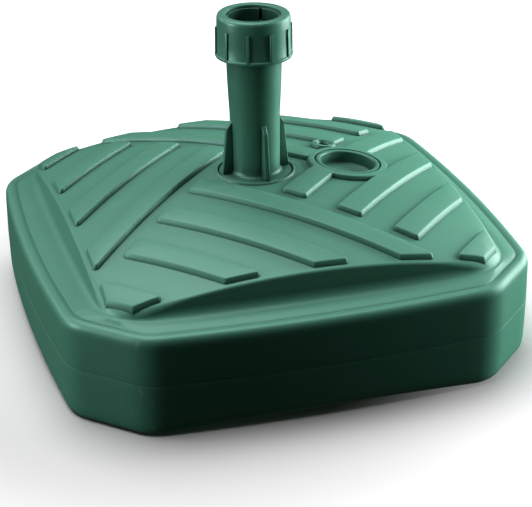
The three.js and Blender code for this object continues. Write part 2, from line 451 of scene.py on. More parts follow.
@dataclass(frozen=True)
class MouldedPlastic:
    """Coloured plastic as it leaves its mould, a little dusty and scuffed, with painted shade in its
    recesses.

    Attributes:
        name: the material's name.
        slot: the record's material slot; not used.
        color: the body colour, linear.
        dust: the colour of settled dust, linear.
        sheen: the tint of its gloss, linear.
        roughness: the mean roughness.
        grain: depth of the fine mould grain.
        ripple: depth of the slow unevenness of a large moulded wall.
        dust_share: how much dust shows on faces that look up.
        scuff_share: how much dust the rub marks hold.
        wear_share: how much of the worn colour shows on outer edges.
        wear_shade: the worn colour, as a factor on the body colour.
        painted_shade_share: how much of the painted shade shows in recesses.
        painted_shade_tone: the colour of the painted shade, as a factor on the body colour.
        painted_shade_reach: how far away a surface makes a recess that gets painted shade, in metres.
    """

    name: str
    slot: str
    color: tuple[float, float, float]
    dust: tuple[float, float, float] = (0.20, 0.36, 0.30)
    sheen: tuple[float, float, float] = (0.5, 1.0, 0.88)
    roughness: float = 0.34
    grain: float = 0.07
    ripple: float = 0.08
    dust_share: float = 0.05
    scuff_share: float = 0.10
    wear_share: float = 0.35
    wear_shade: float = 1.55
    painted_shade_share: float = 0.9
    painted_shade_tone: float = 0.08
    painted_shade_reach: float = 0.022

    def material(self) -> bpy.types.Material:
        """Builds the material.

        Returns:
            The finished material.
        """
        shader = Shader(self.name)
        place = shader.node("TexCoord", output="Object")
        cloud = shader.node("TexNoise", inputs={"Vector": place, "Scale": 9.0, "Detail": 3.0})
        speck = shader.node("TexNoise", inputs={"Vector": place, "Scale": 420.0, "Detail": 2.0})
        grain = shader.node("TexNoise", inputs={"Vector": place, "Scale": 1500.0, "Detail": 1.0})
        ripple = shader.node("TexNoise", inputs={"Vector": place, "Scale": 26.0, "Detail": 1.0})
        scuff = self._scuffs(shader, place)
        worn = self._edges(shader)
        # Painted shade: ambient occlusion darkens the body colour in recesses and crevices, where shade
        # falls.
        recess = shader.node(
            "AmbientOcclusion", {"samples": 6}, {"Distance": self.painted_shade_reach}, output="AO"
        )
        painted_shade = shader.node("ValToRGB", {"stops": ((0.35, 1.0), (0.92, 0.0))}, {0: recess})
        lit = self._mix(shader, cloud * 0.5 + 0.25, self._shade(0.92), self._shade(1.08))
        settled = self._facing_up(shader) * self.dust_share * (0.5 + speck)
        dusty = self._mix(shader, settled + scuff * self.scuff_share, lit, (*self.dust, 1.0))
        clean = self._mix(shader, worn * self.wear_share, dusty, self._shade(self.wear_shade))
        # The painted shade is mixed in last, over the tone, dust and wear.
        body = self._mix(shader, painted_shade * self.painted_shade_share, clean, self._shade(self.painted_shade_tone))
        rough = self.roughness + (cloud - 0.5) * 0.10 + (speck - 0.5) * 0.06 + scuff * 0.16 + settled
        slow = shader.node(
            "Bump",
            inputs={"Strength": self.ripple, "Distance": 0.0012, "Height": ripple},
        )
        fine = shader.node(
            "Bump",
            inputs={
                "Strength": self.grain,
                "Distance": 0.0002,
                "Height": grain * 0.7 + scuff * 0.3,
                "Normal": slow,
            },
        )
        surface = shader.node(
            "BsdfPrincipled",
            inputs={
                "Base Color": body,
                "Roughness": rough,
                "IOR": 1.5,
                "Specular Tint": (*self.sheen, 1.0),
                "Normal": fine,
            },
        )
        return shader.finish(surface)

    def _shade(self, factor: float) -> tuple[float, float, float, float]:
        """The body colour, darker or lighter."""
        red, green, blue = (min(1.0, part * factor) for part in self.color)
        return red, green, blue, 1.0

    @staticmethod
    def _mix(shader: Shader, share: Wire, first: Any, second: Any) -> Wire:
        """Mixes two colours."""
        return shader.node(
            "Mix",
            {"data_type": "RGBA"},
            {"Factor": share, 6: first, 7: second},
            output=2,
        )

    @staticmethod
    def _facing_up(shader: Shader) -> Wire:
        """One where the face looks up, nothing where it is upright."""
        normal = shader.node("NewGeometry", output="Normal")
        parts = shader.node("SeparateXYZ", inputs={0: normal}, output="Z")
        return shader.node("Math", {"operation": "MAXIMUM"}, {0: parts, 1: 0.0})

    @staticmethod
    def _edges(shader: Shader) -> Wire:
        """One on worn outer edges."""
        sharpness = shader.node("NewGeometry", output="Pointiness")
        return shader.node("ValToRGB", {"stops": ((0.52, 0.0), (0.60, 1.0))}, {0: sharpness})

    @staticmethod
    def _scuffs(shader: Shader, place: Wire) -> Wire:
        """Thin, patchy rub marks."""
        stretched = shader.node(
            "Mapping",
            inputs={"Vector": place, "Rotation": (0.0, 0.0, 0.6), "Scale": (14.0, 260.0, 60.0)},
        )
        lines = shader.node("TexNoise", inputs={"Vector": stretched, "Scale": 1.0, "Detail": 2.0})
        patch = shader.node("TexNoise", inputs={"Vector": place, "Scale": 14.0, "Detail": 1.0})
        thin = shader.node("ValToRGB", {"stops": ((0.62, 0.0), (0.72, 1.0))}, {0: lines})
        areas = shader.node("ValToRGB", {"stops": ((0.50, 0.0), (0.68, 1.0))}, {0: patch})
        return thin * areas


@dataclass(frozen=True)
class SealRubber:
    """Black rubber with a dull bloom.

    Attributes:
        name: the material's name.
        slot: the record's material slot; not used.
        color: the body colour, linear.
    """

    name: str = "seal_rubber"
    slot: str = "seal_rubber"
    color: tuple[float, float, float] = (0.016, 0.017, 0.018)

    def material(self) -> bpy.types.Material:
        """Builds the material."""
        shader = Shader(self.name)
        place = shader.node("TexCoord", output="Object")
        bloom = shader.node("TexNoise", inputs={"Vector": place, "Scale": 180.0, "Detail": 3.0})
        tint = shader.node(
            "Mix",
            {"data_type": "RGBA"},
            {"Factor": bloom * 0.5, 6: (*self.color, 1.0), 7: (0.05, 0.05, 0.05, 1.0)},
            output=2,
        )
        bump = shader.node("Bump", inputs={"Strength": 0.2, "Distance": 0.0002, "Height": bloom})
        surface = shader.node(
            "BsdfPrincipled",
            inputs={"Base Color": tint, "Roughness": 0.55 + bloom * 0.2, "Normal": bump},
        )
        return shader.finish(surface)


@dataclass
class Wardrobe:
    """Hands out the finishes, each made once."""

    made: dict[str, bpy.types.Material] = field(default_factory=dict)

    def dress(
        self,
        obj: bpy.types.Object,
        finish: MouldedPlastic | SealRubber,
        body: Body,
        nodes: Sequence[str],
        smooth: float = 32.0,
    ) -> None:
        """Shades a finished piece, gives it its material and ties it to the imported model.

        Args:
            obj: the piece.
            finish: its finish.
            body: the moving group that it rides on.
            nodes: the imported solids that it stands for.
            smooth: edges flatter than this many degrees look smooth.
        """
        if finish.name not in self.made:
            self.made[finish.name] = finish.material()
        take_up(obj)
        bpy.ops.object.shade_smooth_by_angle(angle=math.radians(smooth))
        obj.data.materials.clear()
        obj.data.materials.append(self.made[finish.name])
        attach(obj, body.value)
        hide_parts(*nodes)
        log.info("%s: %d faces, on %s", obj.name, len(obj.data.polygons), body.value)


# --- Tank ---


@dataclass(frozen=True)
class Dome:
    """The sphere that the deck follows, in millimetres."""

    radius: float = 831.0
    crown: float = 150.0
    roll_start: float = 236.0
    roll_depth: float = 3.4
    roll_run: float = 24.0

    def height(self, distance: float) -> float:
        """Height of the deck at a distance from the axis; it rolls off towards the corners."""
        rolled = max(0.0, distance - self.roll_start) / self.roll_run
        sphere = self.crown - self.radius + math.sqrt(self.radius**2 - distance**2)
        return sphere - self.roll_depth * rolled**2

    def seat(self, x: float, y: float, raised: float) -> Matrix:
        """The place of a fitting that stands square on the dome.

        Args:
            x: its place across, in millimetres.
            y: its place along, in millimetres.
            raised: how far its face stands over the dome.

        Returns:
            The matrix from the fitting's own frame to the row's, in metres.
        """
        height = self.height(math.hypot(x, y)) + raised
        normal = Vector((x, y, height - self.crown + self.radius)).normalized()
        turn: Quaternion = UP.rotation_difference(normal)
        return Matrix.Translation(Vector((x, y, height)) * MM) @ turn.to_matrix().to_4x4()


@dataclass(frozen=True)
class Fitting:
    """A round fitting on the deck, in millimetres.

    Attributes:
        x: place across.
        y: place along.
        boss: radius of the raised round that it stands in.
        raised: height of its face over the dome.
    """

    x: float
    y: float
    boss: float
    raised: float


FILLER_PLACE = Fitting(x=95.5, y=-4.0, boss=41.5, raised=4.0)
VENT_PLACE = Fitting(x=87.8, y=50.6, boss=13.3, raised=4.6)


@dataclass
class Tank:
    """The hollow tank: a lower shell on four corner feet and an upper shell with the deck."""

    side_mid: float = CAD_BOX[1].x / MM
    side_end: float = 226.0
    chamfer_start: float = 167.0
    corner_run: float = 17.0
    seam: float = 52.5
    seam_gap: float = 0.3
    wall: float = 4.0
    deck_half: float = 194.0
    deck_corner: float = 43.0
    shoulder: float = 101.0
    flank_slope: float = 80.0
    plank_reach: float = 189.0
    plank_tip: float = 253.0
    plank_height: float = 4.8
    plank_sunk: float = 3.2
    plank_blunt: float = 5.4
    plank_draft: float = 1.9
    plank_foot: float = 0.7
    plank_round: float = 0.9
    plank_width: float = 27.0
    plank_pitch: float = 59.2
    plank_first: float = 47.3
    plank_start: float = -34.4
    corner_plank: float = 230.5
    arch_half: float = 150.0
    arch_rise: float = 6.5
    plank_stock: float = 300.0
    corner_start: float = -120.0
    corner_width: float = 60.0
    corner_length: float = 240.0
    upright_least: float = 1.0
    sharp_tip: float = 125.0
    turn_tolerance: float = 8.0
    grid_step: float = 13.0
    grid_half: int = 14
    grid_shift: float = 0.37
    crest_round: float = 3.6
    crest_softening: float = 10.0
    foot_round: float = 12.0
    foot_tightening: float = 6.5
    flank_deep: float = 17.0
    flank_fade: float = 9.0
    dome: Dome = field(default_factory=Dome)

    # -- outlines --

    def side_octant(self) -> list[tuple[Vector, Vector]]:
        """The outline from the middle of the right side to the corner's diagonal.

        Returns:
            Points with their outward directions.
        """
        bow = self.side_mid - self.side_end
        end = self.chamfer_start - self.corner_run
        found = []
        for i in range(12):
            y = end * i / 11
            x = self.side_mid - bow * (y / self.chamfer_start) ** 2
            found.append((Vector((x, y)), Vector((1.0, 2 * bow * y / self.chamfer_start**2))))
        start = found[-1][0]
        along = Vector((-found[-1][1].y, found[-1][1].x)).normalized()
        total = self.side_end + self.chamfer_start
        run = (total - start.x - start.y) / (along.x + along.y)
        vertex = start + along * run
        down = Vector((-1.0, 1.0)).normalized()
        finish = vertex + down * run
        for i in range(1, 7):
            t = i / 6
            point = start * (1 - t) ** 2 + vertex * 2 * t * (1 - t) + finish * t**2
            tangent = (vertex - start) * (1 - t) + (finish - vertex) * t
            found.append((point, Vector((tangent.y, -tangent.x))))
        diagonal = Vector((total / 2, total / 2))
        for i in range(1, 4):
            found.append((finish.lerp(diagonal, i / 3), Vector((1.0, 1.0))))
        return [(point, direction.normalized()) for point, direction in found]

    @staticmethod
    def round_trip(octant: Sequence[Vector]) -> list[Vector]:
        """Mirrors and turns one eighth of an outline into all of it."""
        mirrored = [Vector((point.y, point.x)) for point in reversed(octant[1:-1])]
        quarter = list(octant) + mirrored
        whole = []
        for turn in range(4):
            matrix = Matrix.Rotation(turn * math.pi / 2, 2)
            whole.extend(matrix @ point for point in quarter)
        return whole

    def outline(self, inset: float, height: float, scale: float = 1.0) -> Ring:
        """The tank's plan outline, moved in and scaled.

        Args:
            inset: how far it is moved in.
            height: its height.
            scale: a further scale about the axis.

        Returns:
            A ring of points.
        """
        octant = [(point - way * inset) * scale for point, way in self.side_octant()]
        return [Vector((point.x, point.y, height)) for point in self.round_trip(octant)]

    def deck_edge(self) -> list[tuple[Vector, Vector]]:
        """The rounded square of the deck's flank, with as many points as the tank's outline.

        Returns:
            Points with their outward directions.
        """
        run = self.deck_half - self.deck_corner
        octant = [(Vector((self.deck_half, run * i / 13)), Vector((1.0, 0.0))) for i in range(14)]
        for i in range(1, 8):
            angle = math.radians(45.0 * i / 7)
            way = Vector((math.cos(angle), math.sin(angle)))
            octant.append((Vector((run, run)) + way * self.deck_corner, way))
        points = self.round_trip([point for point, _ in octant])
        ways = self.round_trip([way for _, way in octant])
        return list(zip(points, ways))

    # -- upper shell --

    def rim_rings(self) -> list[Ring]:
        """The outer wall from the seam up and over the rim bead and its crease."""
        bottom = self.seam + self.seam_gap / 2
        stations = (
            (0.25, bottom), (0.05, bottom + 0.15), (0.0, bottom + 0.6), (0.0, 64.0), (0.0, 78.0),
            (0.0, 88.0), (0.1, 90.6), (0.5, 93.0), (1.4, 95.4), (2.9, 97.3), (4.9, 98.5),
            (7.2, 98.9), (9.4, 98.8), (11.0, 98.4), (12.0, 98.05), (12.6, 98.0), (13.4, 98.5),
            (14.4, 99.1),
        )
        return [self.outline(inset, height) for inset, height in stations]

    def flank_section(self, point: Vector, way: Vector) -> list[tuple[float, float]]:
        """The deck's rounded edge, its steep wall and the hollow sweep below it, at one place.

        Args:
            point: the place on the deck's rounded square.
            way: the outward direction there.

        Returns:
            Offsets along the way and heights, from the dome outwards.
        """
        fall = math.asin(point.dot(way) / self.dome.radius)
        depth = self.dome.height(point.length) - self.shoulder
        nearness = min(1.0, max(0.0, (self.flank_deep - depth) / self.flank_fade))
        crest_round = self.crest_round + self.crest_softening * nearness
        foot_round = self.foot_round - self.foot_tightening * nearness
        slope = math.radians(self.flank_slope)
        foot = self.shoulder + 0.6 * nearness
        for _ in range(40):
            inner = crest_round * (math.sin(slope) - math.sin(fall))
            start = (point - way * inner).length
            drop = self.dome.height(start) - foot
            arcs = crest_round * (math.cos(fall) - math.cos(slope)) + foot_round * (1 - math.cos(slope))
            if arcs <= drop:
                break
            slope -= math.radians(1.0)
        wall = (drop - arcs) / math.tan(slope)
        top = self.dome.height(start)
        section = []
        for i in range(5):
            angle = fall + (slope - fall) * i / 4
            section.append(
                (
                    crest_round * (math.sin(angle) - math.sin(fall)) - inner,
                    top - crest_round * (math.cos(fall) - math.cos(angle)),
                )
            )
        for i in range(8):
            angle = slope * (1.0 - i / 7)
            section.append(
                (
                    wall + foot_round * (math.sin(slope) - math.sin(angle)),
                    foot + foot_round * (1.0 - math.cos(angle)),
                )
            )
        return section

    def flank_rings(self, lower: float) -> list[Ring]:
        """The deck's flank, from the shoulder up to the edge of the dome.

        Args:
            lower: how far the flank lies under the outer skin.

        Returns:
            Rings from the outside in.
        """
        columns = []
        for point, way in self.deck_edge():
            column = []
            for offset, height in self.flank_section(point, way):
                place = point + way * (offset - lower * 0.8)
                column.append(Vector((place.x, place.y, height - lower)))
            columns.append(column)
        return [list(ring) for ring in zip(*columns)][::-1]

    def dome_rings(self, lower: float, inner: float) -> list[Ring]:
        """The dome, from the deck's edge to a circle at its middle.

        Args:
            lower: how far it lies under the outer skin.
            inner: the radius of the last circle.

        Returns:
            Rings from the outside in.
        """
        edge = self.flank_rings(lower)[-1]
        rings = []
        for i in range(1, 15):
            ring = []
            for point in edge:
                start = point.xy.length
                distance = start + (inner - start) * i / 14
                place = point.xy.normalized() * distance
                ring.append(Vector((place.x, place.y, self.dome.height(distance) - lower)))
            rings.append(ring)
        return rings

    def level(self, radius: float, height: float) -> Ring:
        """A level circle whose points lie in the directions of the deck's edge."""
        ways = [point.normalized() * radius for point, _ in self.deck_edge()]
        return [Vector((way.x, way.y, height)) for way in ways]

    def upper_skin(self) -> bpy.types.Object:
        """The upper shell as one closed skin, without planks and fittings."""
        bottom = self.seam + self.seam_gap / 2
        middle = [
            (39.9, 149.1), (39.5, 149.6), (39.2, 150.4), (38.7, 150.95), (38.0, 151.1),
            (37.4, 150.9), (37.05, 150.3), (37.0, 149.4), (37.0, 146.7), (25.2, 146.7),
            (24.7, 146.3), (24.6, 145.6), (24.6, 15.2), (24.3, 14.9), (20.2, 14.9),
            (20.0, 15.1), (20.0, 15.3), (19.8, 15.5), (2.0, 15.5),
        ]
        rings = [self.level(radius, height) for radius, height in reversed(middle)]
        rings += list(reversed(self.dome_rings(0.0, 40.4)))
        rings += list(reversed(self.flank_rings(0.0)))
        rings += list(reversed(self.rim_rings()))
        inset = self.wall
        inside = ((inset, bottom), (inset, 86.0), (inset + 1.5, 91.0), (inset + 6.0, 93.6))
        rings += [self.outline(step, height) for step, height in inside]
        rings += self.flank_rings(self.wall)[::2]
        rings += self.dome_rings(self.wall, 42.0)
        socket = (
            (40.0, 142.9), (39.0, 142.6), (29.0, 142.4), (28.2, 141.5), (28.2, 12.4), (27.0, 11.4),
            (2.0, 11.4),
        )
        rings += [self.level(radius, height) for radius, height in socket]
        return loft("tank_upper", rings)

    def bar(self, start: float, near: float, width: float, length: float) -> bpy.types.Object:
        """One plank as a level bar at 45 degrees, trimmed to the deck and rounded.

        Args:
            start: where the bar starts along its own length.
            near: its edge nearer to the axis.
            width: its width.
            length: its length before it is trimmed.

        Returns:
            The bar, standing over a level deck.
        """
        along = Vector((1.0, -1.0, 0.0)).normalized()
        out = Vector((-1.0, -1.0, 0.0)).normalized()
        centre = along * (start + length / 2) + out * (near + width / 2)
        centre.z = (self.plank_height - self.plank_sunk) / 2
        deselect()
        bpy.ops.mesh.primitive_cube_add(
            size=1.0,
            location=centre * MM,
            rotation=(0.0, 0.0, -math.pi / 4),
            scale=Vector((length, width, self.plank_height + self.plank_sunk)) * MM,
        )
        obj = bpy.context.object
        bpy.ops.object.transform_apply(location=True, rotation=True, scale=True)
        for normal in (Vector((0, -1, 0)), Vector((-1, 0, 0)), Vector((1, 0, 0))):
            self.trim(obj, normal, self.plank_reach)
        for normal in (out, along):
            self.trim(obj, normal, self.plank_tip)
        self.blunt_tips(obj)
        self.round_corners(obj)
        self.draw_in(obj)
        return obj

    @staticmethod
    def trim(obj: bpy.types.Object, normal: Vector, reach: float) -> None:
        """Cuts away what lies beyond a plane that faces the given way."""
        open_mesh(obj)
        bpy.ops.mesh.select_all(action="SELECT")
        bpy.ops.mesh.bisect(
            plane_co=normal * reach * MM,
            plane_no=normal,
            use_fill=True,
            clear_outer=True,
        )
        close_mesh(obj)

    def blunt_tips(self, obj: bpy.types.Object) -> None:
        """Cuts off the sharp tips of a level bar."""
        mesh = open_mesh(obj)
        tips = []
        for edge in mesh.edges:
            low, high = edge_heights(edge)
            turn = math.degrees(edge.calc_face_angle())
            if high - low > self.upright_least * MM and turn > self.sharp_tip:
                way = (edge.link_faces[0].normal + edge.link_faces[1].normal).normalized()
                tips.append((way, edge.verts[0].co.dot(way) / MM - self.plank_blunt))
        close_mesh(obj)
        for way, reach in tips:
            self.trim(obj, way, reach)

    def round_corners(self, obj: bpy.types.Object) -> None:
        """Rounds the upright corners of a level bar, sharp ones more than blunt ones."""
        open_mesh(obj)
        for turn, offset in ((90.0, 3.1), (67.5, 2.0), (45.0, 1.4)):

            def upright(edge: bmesh.types.BMEdge) -> bool:
                low, high = edge_heights(edge)
                off = abs(math.degrees(edge.calc_face_angle()) - turn)
                return high - low > self.upright_least * MM and off < self.turn_tolerance

            if choose(obj, "edges", upright):
                bpy.ops.mesh.bevel(offset=offset * MM, segments=4, affect="EDGES")
        close_mesh(obj)

    def draw_in(self, obj: bpy.types.Object) -> None:
        """Slopes the sides of a level bar or boss and rounds its upper edge."""
        open_mesh(obj)
        top = (self.plank_height - 0.05) * MM
        choose(obj, "faces", lambda face: min(vert.co.z for vert in face.verts) > top)
        bpy.ops.mesh.inset(thickness=self.plank_draft * MM)
        mesh = bmesh.from_edit_mesh(obj.data)
        for vert in mesh.verts:
            if vert.co.z > top and not any(face.select for face in vert.link_faces):
                vert.co.z = self.plank_foot * MM
        bmesh.update_edit_mesh(obj.data)
        choose(obj, "edges", lambda edge: edge_heights(edge)[0] > top)
        bpy.ops.mesh.bevel(offset=self.plank_round * MM, segments=3, affect="EDGES")
        close_mesh(obj)

    def plank_quarter(self) -> bpy.types.Object:
        """The planks of the front group and its corner."""
        bars = []
        for i in range(3):
            near = self.plank_first + self.plank_pitch * i
            bars.append(self.bar(self.plank_start, near, self.plank_width, self.plank_stock))
        bars.append(
            self.bar(self.corner_start, self.corner_plank, self.corner_width, self.corner_length)
        )
        return merge_objects("planks", bars)

    def raised_pattern(self) -> bpy.types.Object:
        """All planks and the two round bosses, rounded, laid over the dome."""
        quarter = self.plank_quarter()
        pattern = merge_objects(
            "raised_pattern",
            [quarter] + [copy_of(quarter, turn * math.pi / 2) for turn in range(1, 4)],
        )
        for place in (FILLER_PLACE, VENT_PLACE):
            deselect()
            bpy.ops.mesh.primitive_cylinder_add(
                vertices=72,
                radius=place.boss * MM,
                depth=(self.plank_height + self.plank_sunk) * MM,
                location=Vector((place.x, place.y, (self.plank_height - self.plank_sunk) / 2)) * MM,
            )
            boss = bpy.context.object
            bpy.ops.object.transform_apply(location=True, rotation=True, scale=True)
            self.draw_in(boss)
            combine(pattern, boss, Cut.JOIN)
        self.lay_on_dome(pattern)
        return pattern

    def lay_on_dome(self, pattern: bpy.types.Object) -> None:
        """Cuts the level pattern into a fine grid and lays it on the dome."""
        open_mesh(pattern)
        for normal in (Vector((1, 0, 0)), Vector((0, 1, 0))):
            for i in range(-self.grid_half, self.grid_half + 1):
                place = normal * self.grid_step * (i + self.grid_shift) * MM
                bpy.ops.mesh.select_all(action="SELECT")
                bpy.ops.mesh.bisect(plane_co=place, plane_no=normal)
        mesh = bmesh.from_edit_mesh(pattern.data)
        for vert in mesh.verts:
            vert.co.z += self.dome.height(vert.co.xy.length / MM) * MM
        close_mesh(pattern)

    def neck(self, place: Fitting, rings: Sequence[tuple[float, float]], count: int) -> bpy.types.Object:
        """A turned piece of a fitting's neck, in its place on the dome."""
        obj = turned("neck", rings, count)
        obj.data.transform(self.dome.seat(place.x, place.y, place.raised))
        return obj

    def build_upper(self) -> bpy.types.Object:
        """Models the upper shell.

        Returns:
            The finished mesh object.
        """
        shell = self.upper_skin()
        combine(shell, self.raised_pattern(), Cut.JOIN)
        collar = ((2, -22), (33.5, -22), (33.5, -10), (37.5, -8.5), (37.5, -1.5), (2, -1.5))
        combine(shell, self.neck(FILLER_PLACE, collar, 96), Cut.JOIN)
        combine(shell, self.neck(VENT_PLACE, ((1, -13), (12, -13), (12, -1.5), (1, -1.5)), 48), Cut.JOIN)
        mouth = (
            (2, -40), (29.6, -40), (29.6, -5.3), (29.9, -5), (33.6, -5), (33.6, -0.9), (33.9, -0.1),
            (34.6, 0.4), (34.6, 12), (2, 12),
        )
        combine(shell, self.neck(FILLER_PLACE, mouth, 96), Cut.TAKE)
        hole = ((1, -30), (7, -30), (7, -3.4), (9.1, -3.4), (9.1, -0.6), (9.6, 0.1), (9.6, 12), (1, 12))
        combine(shell, self.neck(VENT_PLACE, hole, 48), Cut.TAKE)
        outward(shell)
        return shell

    # -- lower shell --

    def arch(self, point: Vector) -> float:
        """Height of the arches that cross under the tank, at a point of its plan."""
        rises = [1.0 - (value / self.arch_half) ** 2 for value in (point.x, point.y)]
        return self.arch_rise * max(0.0, *rises)

    def lifted(self, ring: Ring, thickness: float) -> Ring:
        """Lets the arches lift a ring, most at the ground and not at all at the seam."""
        found = []
        for point in ring:
            share = max(0.0, 1.0 - (point.z - thickness) / self.seam) ** 2
            found.append(Vector((point.x, point.y, point.z + self.arch(point) * share)))
        return found

    def build_lower(self) -> bpy.types.Object:
        """Models the lower shell.

        Returns:
            The finished mesh object.
        """
        top = self.seam - self.seam_gap / 2
        outside = (
            (0.25, top), (0.05, top - 0.15), (0.0, top - 0.6), (0.2, 44.0), (0.5, 34.0), (0.8, 24.0),
            (1.1, 15.0), (1.5, 9.5), (2.1, 6.2), (3.2, 3.6), (4.8, 1.6), (6.9, 0.4), (9.2, 0.0),
        )
        inside = ((4.6, top), (5.2, 44.0), (7.0, 24.0), (8.6, 12.0), (10.5, 6.5), (13.5, 4.2), (16.0, 4.0))
        scales = (0.96, 0.9, 0.83, 0.75, 0.66, 0.56, 0.45, 0.33, 0.2, 0.08, 0.01)
        floor = [self.outline(outside[-1][0], 0.0, scale) for scale in reversed(scales)]
        floor += [self.outline(inset, height) for inset, height in reversed(outside)]
        bed = [self.outline(inset, height) for inset, height in inside]
        bed += [self.outline(*inside[-1], scale) for scale in scales]
        rings = [self.lifted(ring, 0.0) for ring in floor]
        rings += [self.lifted(ring, self.wall) for ring in bed]
        return loft("tank_lower", rings)


# --- Tube, collar and split ring ---


@dataclass
class StandTube:
    """The tube that holds the pole, with its flange, four fins and threaded neck."""

    foot: float = 15.2
    flange_radius: float = 36.1
    flange_low: float = 147.0
    flange_high: float = 150.4
    neck_low: float = 270.0
    neck_top: float = 297.0
    thread_pitch: float = 6.0
    fin_turn: float = 5.0
    fin_thickness: float = 5.7
    fin_sunk: float = 1.5
    fin_root: float = 24.0
    fin_reach_low: float = 35.0
    fin_reach_high: float = 30.3
    fin_top_outer: float = 197.5
    fin_top_inner: float = 205.6
    thread_root: float = 27.6
    thread_crest: float = 29.5
    thread_start: float = 4.0

    def build(self) -> bpy.types.Object:
        """Models the tube.

        Returns:
            The finished mesh object.
        """
        low, high = self.flange_low, self.flange_high
        edge = self.flange_radius
        outside = [
            (23.0, self.foot), (23.4, self.foot + 1), (24.0, low - 0.4), (24.4, low), (edge - 0.4, low),
            (edge, low + 0.4), (edge, high - 1.1), (edge - 0.3, high - 0.4), (edge - 1.1, high),
            (28.2, high), (26.4, high + 0.5), (25.2, high + 1.6), (24.6, high + 3.4), (24.4, high + 6),
            (24.5, 180), (24.75, 210), (25.5, 224), (26.0, 233), (26.6, 248), (26.9, 258), (27.1, 268),
            (27.4, self.neck_low), (28.4, self.neck_low + 1.2), (28.4, self.neck_top - 1),
            (27.8, self.neck_top),
        ]
        bore = [
            (24.6, self.neck_top), (24.0, self.neck_top - 1), (23.6, 250), (21.8, 205), (20.9, high),
            (20.5, self.foot + 1), (20.9, self.foot),
        ]
        tube = turned("stand_tube_moulding", outside + bore, 96, closed=True)
        for i in range(4):
            combine(tube, self.fin(math.radians(self.fin_turn + 90.0 * i)), Cut.JOIN)
        combine(tube, self.thread(), Cut.JOIN)
        outward(tube)
        return tube

    def fin(self, turn: float) -> bpy.types.Object:
        """One upright fin, tapered and cut off at a slope.

        Args:
            turn: its angle about the axis in radians.

        Returns:
            The fin in its place.
        """
        low = self.flange_high - self.fin_sunk

        def corner(outer: bool, upper: bool) -> tuple[float, float, float]:
            half = self.fin_thickness / 2 * (0.82 if upper else 1.0) * (0.9 if outer else 1.0)
            reach = self.fin_reach_high if upper else self.fin_reach_low
            top = self.fin_top_outer if outer else self.fin_top_inner
            return reach if outer else self.fin_root, half, top if upper else low

        return rounded(wedge(corner, turn), 0.8, 3, 30.0)

    def thread(self) -> bpy.types.Object:
        """A right-hand thread, made by extruding a small face round the neck."""
        steps, turns = 30, 3.4
        deselect()
        bpy.ops.mesh.primitive_plane_add(size=1.0)
        obj = bpy.context.object
        mesh = open_mesh(obj)
        for vert in mesh.verts:
            outer = vert.co.x > 0
            height = (0.7 if outer else 1.7) * math.copysign(1.0, vert.co.y)
            radius = self.thread_crest if outer else self.thread_root
            vert.co = Vector((radius, 0.0, self.neck_low + self.thread_start + height)) * MM
        bmesh.update_edit_mesh(obj.data)
        bpy.ops.mesh.select_all(action="SELECT")
        turn = Matrix.Rotation(math.tau / steps, 4, "Z")
        lift = Vector((0.0, 0.0, self.thread_pitch / steps)) * MM
        for _ in range(int(steps * turns)):
            bpy.ops.mesh.extrude_region_move()
            mesh = bmesh.from_edit_mesh(obj.data)
            for vert in mesh.verts:
                if vert.select:
                    vert.co = turn @ vert.co + lift
            bmesh.update_edit_mesh(obj.data)
        bpy.ops.object.mode_set(mode="OBJECT")
        outward(obj)
        return obj


@dataclass
class ClampCollar:
    """The ribbed screw collar."""

    low: float = 270.2
    high: float = CAD_BOX[1].z / MM
    bore: float = 26.5
    thread_bore: float = 30.0
    ribs: int = 10
    rib_turn: float = -7.0
    rib_width: float = 3.8
    rib_root: float = 34.4
    rib_reach_low: float = 37.9
    rib_reach_high: float = 37.65
    rib_top: float = 300.6

    def build(self) -> bpy.types.Object:
        """Models the collar.

        Returns:
            The finished mesh object.
        """
        low, high = self.low, self.high
        profile = [
            (self.thread_bore, low + 0.6), (self.thread_bore + 0.6, low), (36.6, low), (37.5, low + 0.4),
            (37.9, low + 1.3), (37.9, low + 2.6), (37.5, low + 3.3), (36.6, low + 3.8), (36.3, low + 4.6),
            (36.1, 288), (35.9, 300), (35.75, high - 4.2), (35.5, high - 2.6), (34.9, high - 1.2),
            (33.9, high - 0.3), (32.6, high), (28.2, high), (27.2, high - 0.3), (26.6, high - 1.0),
            (self.bore, high - 2.2), (self.bore, 306.2), (self.thread_bore, 300.7),
        ]
        collar = turned("screw_collar", profile, 120, closed=True)
        for i in range(self.ribs):
            combine(collar, self.rib(math.radians(self.rib_turn + 360.0 * i / self.ribs)), Cut.JOIN)
        outward(collar)
        return collar

    def rib(self, turn: float) -> bpy.types.Object:
        """One upright grip rib.

        Args:
            turn: its angle about the axis in radians.

        Returns:
            The rib in its place.
        """

        def corner(outer: bool, upper: bool) -> tuple[float, float, float]:
            half = self.rib_width / 2 * (0.72 if outer else 1.0)
            reach = self.rib_reach_high if upper else self.rib_reach_low
            return reach if outer else self.rib_root, half, self.rib_top if upper else self.low + 1.8

        return rounded(wedge(corner, turn), 0.45, 2, 30.0)


